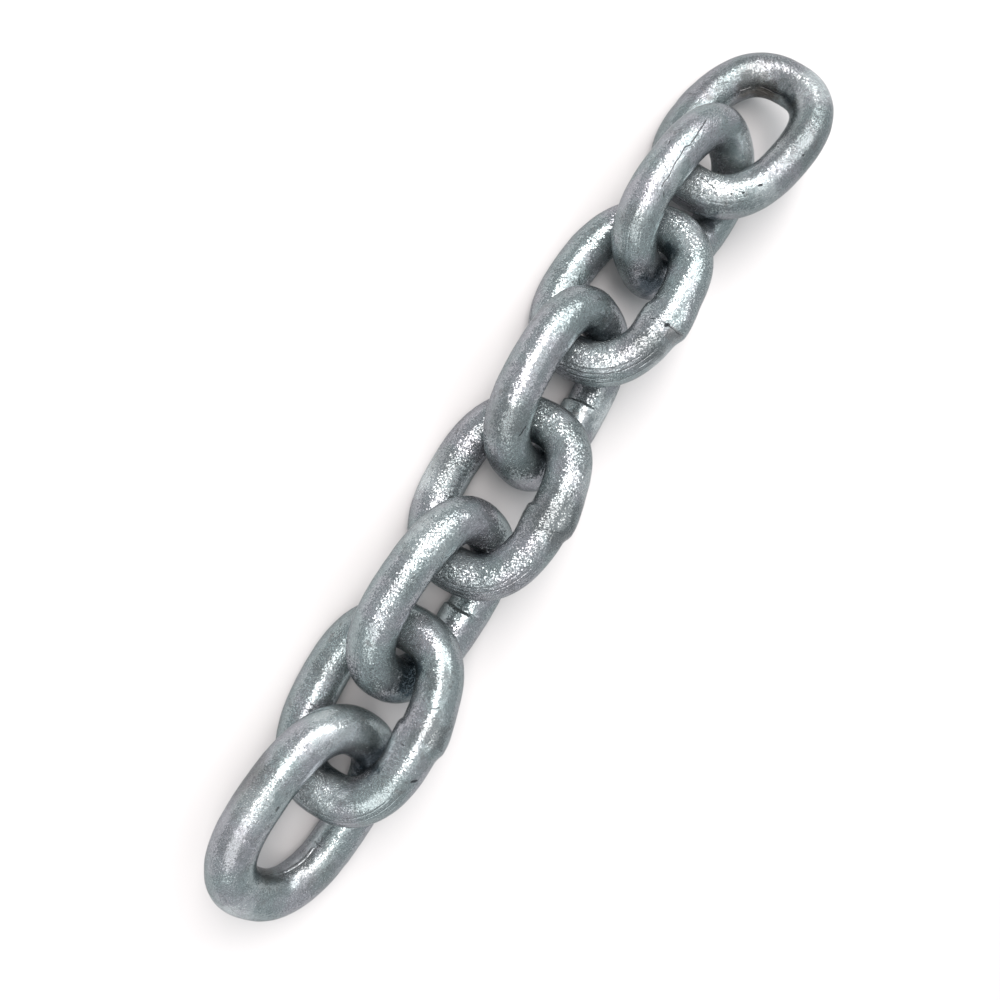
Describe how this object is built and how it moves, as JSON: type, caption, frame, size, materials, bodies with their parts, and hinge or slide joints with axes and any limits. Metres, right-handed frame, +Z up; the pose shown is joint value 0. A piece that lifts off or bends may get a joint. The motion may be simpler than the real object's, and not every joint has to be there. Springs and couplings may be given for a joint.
{
  "type": "short-link steel chain",
  "caption": "Short length of galvanised short-link steel chain lying on the floor: welded oval links of round bar, each leaning the other way from the next.",
  "frame": {"origin": "on the floor, under the middle of the chain's box as it lies", "axes": "+Z up, +X along the chain from link_1 to link_8, +Y across it"},
  "size_m": [0.2326, 0.038, 0.0258],
  "materials": {
    "zinc": "hot-dip galvanised steel: satin grey zinc with a faint granular sparkle, cloudy darker patches and fine scratches"
  },
  "bodies": {
    "link_1": {"link_1": "zinc"},
    "link_2": {"link_2": "zinc"},
    "link_3": {"link_3": "zinc"},
    "link_4": {"link_4": "zinc"},
    "link_5": {"link_5": "zinc"},
    "link_6": {"link_6": "zinc"},
    "link_7": {"link_7": "zinc"},
    "link_8": {"link_8": "zinc"}
  },
  "joints": [
    {"name": "swing_2", "type": "hinge", "parent": "link_1", "child": "link_2", "pos_m": [-0.07309, 0.00095, 0.01183], "axis": [-0.042, 0.6003, 0.7986], "range_deg": [-80, 80]},
    {"name": "swing_3", "type": "hinge", "parent": "link_2", "child": "link_3", "pos_m": [-0.04861, 0.00349, 0.01275], "axis": [0.021, 0.6014, -0.7986], "range_deg": [-80, 80]},
    {"name": "swing_4", "type": "hinge", "parent": "link_3", "child": "link_4", "pos_m": [-0.02188, 0.00196, 0.01295], "axis": [0.021, -0.6014, -0.7986], "range_deg": [-80, 80]},
    {"name": "swing_5", "type": "hinge", "parent": "link_4", "child": "link_5", "pos_m": [0.00522, 0.00329, 0.01275], "axis": [0.021, -0.6014, 0.7986], "range_deg": [-80, 80]},
    {"name": "swing_6", "type": "hinge", "parent": "link_5", "child": "link_6", "pos_m": [0.03261, 0.00425, 0.01295], "axis": [0.0315, 0.601, 0.7986], "range_deg": [-80, 80]},
    {"name": "swing_7", "type": "hinge", "parent": "link_6", "child": "link_7", "pos_m": [0.05999, 0.00234, 0.01275], "axis": [0.0629, 0.5985, -0.7986], "range_deg": [-80, 80]},
    {"name": "swing_8", "type": "hinge", "parent": "link_7", "child": "link_8", "pos_m": [0.08723, -0.0008, 0.01295], "axis": [-0.0894, -0.5072, -0.8572], "range_deg": [-80, 80]}
  ]
}
